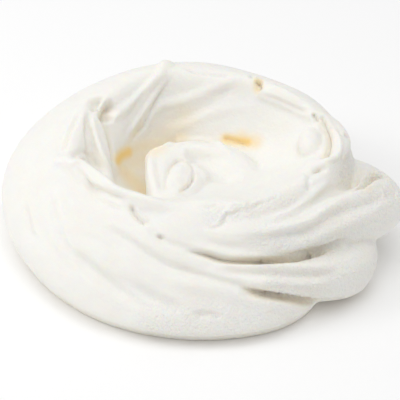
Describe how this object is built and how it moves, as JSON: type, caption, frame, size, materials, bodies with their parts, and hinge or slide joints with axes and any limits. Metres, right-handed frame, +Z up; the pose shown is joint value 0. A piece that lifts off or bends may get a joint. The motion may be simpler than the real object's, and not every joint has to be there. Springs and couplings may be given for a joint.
{
  "type": "meringue cookie",
  "caption": "Round baked meringue nest with overlapping spiral folds, a rim drawn up to small peaks, a hollow with a low swirl in it, and a flat base.",
  "frame": {"origin": "middle of the object's outline, on the flat face that it rests on", "axes": "+Z up; -Y towards the side with the long overlapping folds; +X towards the rounded ends of the two fat folds"},
  "size_m": [0.08, 0.0744, 0.0255],
  "materials": {
    "baked_meringue": "matt, dry and faintly chalky, off-white, warmer inside the folds"
  },
  "bodies": {
    "root": {"meringue": "baked_meringue"}
  },
  "joints": []
}
